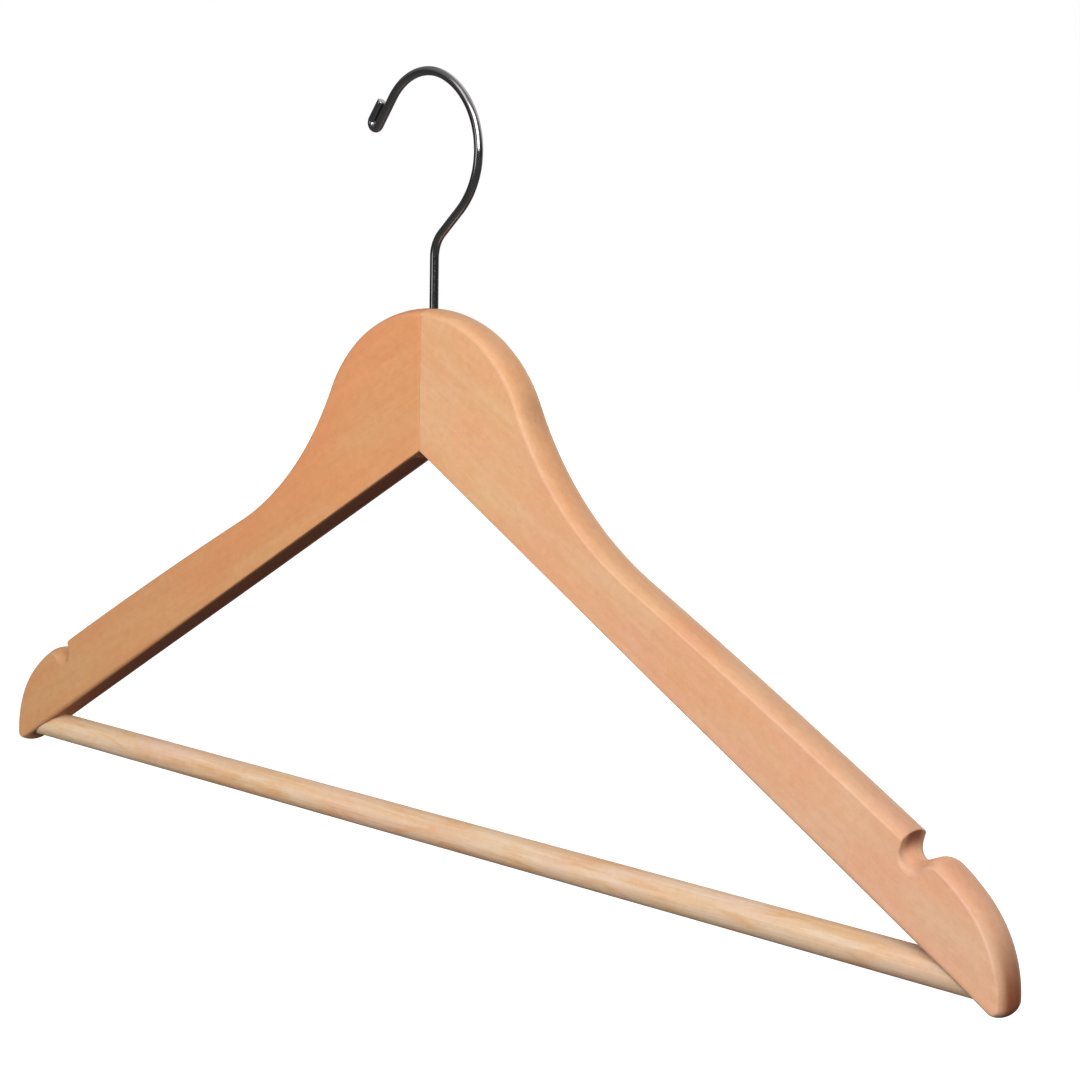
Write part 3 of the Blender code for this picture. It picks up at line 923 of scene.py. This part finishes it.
def makeBar(material):
    half = (barHigh.x - barLow.x) / 2 / mm
    chamfer, inset = bar["chamfer"], bar["endInset"]
    quick, slow = bar["waverTurns"]
    profile = [(0, -half), (barRadius - chamfer, -half), (barRadius - inset, -half + chamfer)]
    for i in range(1, bar["rings"]):
        along = (-half + chamfer) + 2 * (half - chamfer) * i / bar["rings"]
        shrink = bar["waver"] * (0.5 + 0.5 * math.sin(along * quick) * math.cos(along * slow))
        profile.append((barRadius - shrink, along))
    profile += [(barRadius - inset, half - chamfer), (barRadius - chamfer, half), (0, half)]
    mesh = latheMesh("trouserDowel", profile, "X", bar["sides"])
    for vert in mesh.vertices:
        vert.co.z += (barHeight - seatHeight) * mm
    shade(mesh, bar["sharpAngle"])
    addPiece("trouserDowel", mesh, "hanger_body", material, "trouser_bar")


# Hook

wire = {
    "radius": 1.4,
    "sides": 32,
    "threadHigh": 8.6,             # the thread stops here
    "threadPitch": 0.5,
    "threadDepth": 0.14,
    "threadRings": 8,              # for one turn of it
    "threadEase": 0.4,             # how much thinner its first ring is
    "shankPoints": (12.0, 20.0, 30.0, 40.0, 46.0, 52.0),
    "shankHeight": 59.8,
    "bendRadius": 9.9,
    "bendAngle": 46.6,
    "slant": 10.1,
    "sideRadius": 24.7,
    "sideSweep": 111.2,
    "topRadius": 18.6,
    "topSweep": 80.0,
    "nib": 10.6,
    "foldRadius": 1.7,
    "foldReturn": 7.0,
    "endRound": 0.35,
    "endRings": 5,
    "sharpAngle": 40.0,
}

# Rings along each stretch of the wire
wireSteps = {"straight": 4, "bend": 16, "side": 56, "top": 36, "fold": 24}


def wirePath():
    # centre line as (point, heading), from the shank's end to the folded end
    up = math.pi / 2
    path = []
    z = shankLow
    while z < wire["threadHigh"]:
        path.append((Vector((0, z)), up))
        z += wire["threadPitch"] / wire["threadRings"]
    for height in (wire["threadHigh"], *wire["shankPoints"], wire["shankHeight"]):
        path.append((Vector((0, height)), up))
    heading = up

    def bend(radius, sweep, steps):
        nonlocal heading
        hand = math.copysign(1, sweep)
        start = path[-1][0]
        centre = start + hand * radius * Vector((-math.sin(heading), math.cos(heading)))
        for i in range(1, steps + 1):
            angle = heading + sweep * i / steps
            path.append((centre + hand * radius * Vector((math.sin(angle), -math.cos(angle))), angle))
        heading += sweep

    def straight(length):
        start = path[-1][0]
        way = Vector((math.cos(heading), math.sin(heading)))
        for i in range(1, wireSteps["straight"] + 1):
            path.append((start + way * length * i / wireSteps["straight"], heading))

    bend(wire["bendRadius"], -math.radians(wire["bendAngle"]), wireSteps["bend"])
    straight(wire["slant"])
    bend(wire["sideRadius"], math.radians(wire["sideSweep"]), wireSteps["side"])
    bend(wire["topRadius"], math.radians(wire["topSweep"]), wireSteps["top"])
    straight(wire["nib"])
    bend(wire["foldRadius"], -math.pi, wireSteps["fold"])
    straight(wire["foldReturn"])
    return path


def makeHook(material):
    path = wirePath()
    bm = bmesh.new()
    rings = []

    def addRing(point, heading, radius, threaded=False):
        ring = []
        for k in range(wire["sides"]):
            angle = 2 * math.pi * k / wire["sides"]
            r = radius
            if threaded:
                # a helix: the groove climbs one pitch per turn
                turnShare = (k / wire["sides"] - point.y / wire["threadPitch"]) % 1.0
                r -= wire["threadDepth"] * abs(2 * turnShare - 1)
            ring.append(bm.verts.new((
                (point.x - r * math.cos(angle) * math.sin(heading)) * mm, r * math.sin(angle) * mm,
                (point.y + r * math.cos(angle) * math.cos(heading) - seatHeight) * mm,
            )))
        rings.append(ring)

    addRing(*path[0], wire["radius"] - wire["threadEase"])
    for point, heading in path[1:-1]:
        addRing(point, heading, wire["radius"], point.y < wire["threadHigh"])

    # the sheared end, its rim broken
    point, heading = path[-1]
    way = Vector((math.cos(heading), math.sin(heading)))
    for k in range(wire["endRings"]):
        angle = math.pi / 2 * k / (wire["endRings"] - 1)
        back = wire["endRound"] * (1 - math.sin(angle))
        addRing(point - way * back, heading, wire["radius"] - wire["endRound"] * (1 - math.cos(angle)))
    mesh = skinMesh("hookWire", bm, rings)
    shade(mesh, wire["sharpAngle"])
    addPiece("hookWire", mesh, "hook_set", material, "hook")


# Brads: a shallow dome on the head and a shank down through the bar

brad = {
    "headRadius": 1.2,
    "headTop": 5.95,
    "headLow": 5.25,
    "headEase": 0.1,               # broken rim under the head
    "dome": 0.12,
    "domePoints": (1.0, 0.97, 0.85, 0.65, 0.4, 0.2, 0.0),  # shares of the head's radius
    "shankRadius": 0.65,
    "pointTop": -1.75,
    "point": -3.35,
    "sides": 32,
    "sharpAngle": 30.0,
}


def makeBrad(side, name, node, material):
    head, low, ease, shank = (brad[key] for key in ("headRadius", "headLow", "headEase", "shankRadius"))
    profile = [(0, brad["point"]), (shank, brad["pointTop"]), (shank, low)]
    profile += [(head - ease, low), (head, low + ease)]
    for share in brad["domePoints"]:
        rise = brad["dome"] * (1 - share**2)
        profile.append((head * share, brad["headTop"] - brad["dome"] + rise))
    mesh = latheMesh(name, profile, "Y", brad["sides"])
    place = Vector((side * (halfWidth - hole["bradFromEnd"]) * mm, 0, (barHeight - seatHeight) * mm))
    for vert in mesh.vertices:
        vert.co += place
    shade(mesh, brad["sharpAngle"])
    addPiece(name, mesh, "hanger_body", material, node)


# Floor, backdrop and light

studio = {
    "floorDrop": 900.0,            # floor below the rail seat
    "floorReach": 9000.0,
    "floorColour": (0.86, 0.86, 0.85),
    "floorRoughness": 0.9,
    "floorBounce": 0.03,           # what the wood gets back from the floor
    "floorShine": 0.07,            # how bright the metal mirrors it
    "floorGlow": (0.5, 1.0),       # paper brightness added below the hanger and far off
    "glowReach": (0.7, 2.4),       # metres from the middle where the one turns to the other
    "roomHigh": 0.42,              # glow of the room from straight above
    "roomLow": 0.05,               # and from the horizon down
    "spotSoft": 3.0,               # softness of a mirrored place's rim, in degrees
    "aim": (0, 0, -120.0),         # the place that the lamps point at
}

# Bright places round the room that only the metal mirrors; half is their half angle
mirrored = {
    "left": {"azimuth": -15.0, "elevation": 0.0, "half": 9.0, "glow": 1.5},
    "over": {"azimuth": 5.0, "elevation": 42.0, "half": 18.0, "glow": 1.3},
    "rear": {"azimuth": 180.0, "elevation": 32.0, "half": 38.0, "glow": 0.8},
}

# Lamps, with their distances and sizes in metres
lamps = {
    "key": {"azimuth": 46.0, "elevation": 28.0, "distance": 1.1, "size": (0.88, 0.84), "power": 12.0},
    "panel": {"azimuth": -15.0, "elevation": -6.0, "distance": 1.15, "size": (1.2, 1.1), "power": 6.0},
    "back": {"azimuth": 200.0, "elevation": 4.0, "distance": 1.5, "size": (0.8, 0.8), "power": 16.0},
}


def makeFloor():
    reach = studio["floorReach"] * mm
    drop = -studio["floorDrop"] * mm
    mesh = bpy.data.meshes.new("floor")
    mesh.from_pydata(
        [(-reach, -reach, drop), (reach, -reach, drop), (reach, reach, drop), (-reach, reach, drop)],
        [], [(0, 1, 2, 3)],
    )
    floor = bpy.data.objects.new("floor", mesh)
    bpy.context.collection.objects.link(floor)
    material, tree, shader = nodeTree("floorPaper")
    shader.inputs["Roughness"].default_value = studio["floorRoughness"]
    # the eye sees bright paper, while the wood gets only a little light back from it
    rays = tree.nodes.new("ShaderNodeLightPath")
    sees = rays.outputs["Is Camera Ray"]
    dim = (studio["floorBounce"],) * 3
    paper = mixColour(tree, "MIX", sees, dim, studio["floorColour"])
    tree.links.new(paper, shader.inputs["Base Color"])
    place = tree.nodes.new("ShaderNodeTexCoord").outputs["Object"]
    far = addNode(tree, "ShaderNodeVectorMath", operation="LENGTH")
    tree.links.new(place, far.inputs[0])
    glow = remap(tree, far.outputs["Value"], *studio["glowReach"], *studio["floorGlow"])
    emission = addNode(tree, "ShaderNodeEmission")
    emission.inputs["Color"].default_value = (1, 1, 1, 1)
    mirror = combine(tree, "MULTIPLY", rays.outputs["Is Glossy Ray"], studio["floorShine"])
    light = combine(tree, "ADD", combine(tree, "MULTIPLY", sees, glow), mirror)
    tree.links.new(light, emission.inputs["Strength"])
    total = tree.nodes.new("ShaderNodeAddShader")
    tree.links.new(shader.outputs[0], total.inputs[0])
    tree.links.new(emission.outputs[0], total.inputs[1])
    tree.links.new(total.outputs[0], tree.nodes["Material Output"].inputs["Surface"])
    mesh.materials.append(material)


def wayTo(place):
    # direction from the hanger, azimuth counted from the front to the right
    azimuth, elevation = math.radians(place["azimuth"]), math.radians(place["elevation"])
    level = math.cos(elevation)
    return Vector((math.sin(azimuth) * level, -math.cos(azimuth) * level, math.sin(elevation)))


def makeWorld():
    # white to the eye; the light it gives rises from the floor to the ceiling
    world = bpy.data.worlds.new("studioRoom")
    bpy.context.scene.world = world
    world.use_nodes = True
    tree = world.node_tree
    back = tree.nodes["Background"]
    back.inputs["Color"].default_value = (1, 1, 1, 1)
    split = tree.nodes.new("ShaderNodeSeparateXYZ")
    sky = tree.nodes.new("ShaderNodeTexCoord").outputs["Generated"]
    tree.links.new(sky, split.inputs[0])
    light = remap(tree, split.outputs["Z"], 0.0, 1.0, studio["roomLow"], studio["roomHigh"])
    rays = tree.nodes.new("ShaderNodeLightPath")
    for spot in mirrored.values():
        angle = addNode(tree, "ShaderNodeVectorMath", operation="DOT_PRODUCT")
        tree.links.new(sky, angle.inputs[0])
        angle.inputs[1].default_value = wayTo(spot)
        soft = studio["spotSoft"]
        rim, core = (math.cos(math.radians(spot["half"] + wider)) for wider in (soft, -soft))
        seen = remap(tree, angle.outputs["Value"], rim, core, 0.0, spot["glow"])
        light = combine(tree, "ADD", light, combine(tree, "MULTIPLY", seen, rays.outputs["Is Glossy Ray"]))
    tree.links.new(combine(tree, "MAXIMUM", light, rays.outputs["Is Camera Ray"]), back.inputs["Strength"])


def makeLamps():
    target = Vector(studio["aim"]) * mm
    for name, lamp in lamps.items():
        light = bpy.data.lights.new(name, "AREA")
        light.shape = "RECTANGLE"
        light.size, light.size_y = lamp["size"]
        light.energy = lamp["power"]
        item = bpy.data.objects.new(name, light)
        bpy.context.collection.objects.link(item)
        way = wayTo(lamp)
        item.location = target + way * lamp["distance"]
        item.rotation_euler = (-way).to_track_quat("-Z", "Y").to_euler()
        item.visible_camera = False
        item.visible_glossy = name == "key"  # the others would stand as stripes on the hook


# Camera at the photograph's angle

view = {
    "place": (514.55, -513.79, -32.67),
    "azimuth": 42.357,             # degrees right of the front
    "elevation": 8.552,
    "roll": 1.0728,
    "lens": 78.18,
    "sensor": 36.0,
    "nearest": 10.0,
}


def makeCamera():
    data = bpy.data.cameras.new("camera")
    data.lens = view["lens"]
    data.sensor_width = view["sensor"]
    data.clip_start = view["nearest"] * mm
    camera = bpy.data.objects.new("camera", data)
    bpy.context.collection.objects.link(camera)
    azimuth, elevation = math.radians(view["azimuth"]), math.radians(view["elevation"])
    roll = math.radians(view["roll"])
    level = math.cos(elevation)
    forward = Vector((-math.sin(azimuth) * level, math.cos(azimuth) * level, -math.sin(elevation)))
    right = Vector((math.cos(azimuth), math.sin(azimuth), 0))
    up = right.cross(forward)
    turnedRight = right * math.cos(roll) + up * math.sin(roll)
    turnedUp = up * math.cos(roll) - right * math.sin(roll)
    matrix = Matrix((turnedRight, turnedUp, -forward)).transposed().to_4x4()
    matrix.translation = Vector(view["place"]) * mm
    camera.matrix_world = matrix
    bpy.context.scene.camera = camera


# Put it together

leftMaterial = woodMaterial("leftWood", leftWood)
rightMaterial = woodMaterial("rightWood", rightWood)
barMaterial = woodMaterial("barWood", barWood)
wireMaterial = metalMaterial("hookMetal", hookMetal)
steelMaterial = metalMaterial("hardwareMetal", hardwareMetal)
bradMaterial = metalMaterial("bradMetal", bradMetal)

makeArm(-1, "leftArmWood", "left_arm", leftMaterial)
makeArm(1, "rightArmWood", "right_arm", rightMaterial)
makeBar(barMaterial)
makeHook(wireMaterial)
makeBrad(-1, "bradLeft", "bar_brad_left", bradMaterial)
makeBrad(1, "bradRight", "bar_brad_right", bradMaterial)
# washer and nut keep their CAD shape
for node in ("hook_washer", "hook_nut"):
    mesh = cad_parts[node].data
    mesh.materials.clear()
    mesh.materials.append(steelMaterial)
print("pieces made")

makeFloor()
makeWorld()
makeLamps()
makeCamera()
bpy.context.scene.view_settings.view_transform = "Standard"
print("stage and camera set")
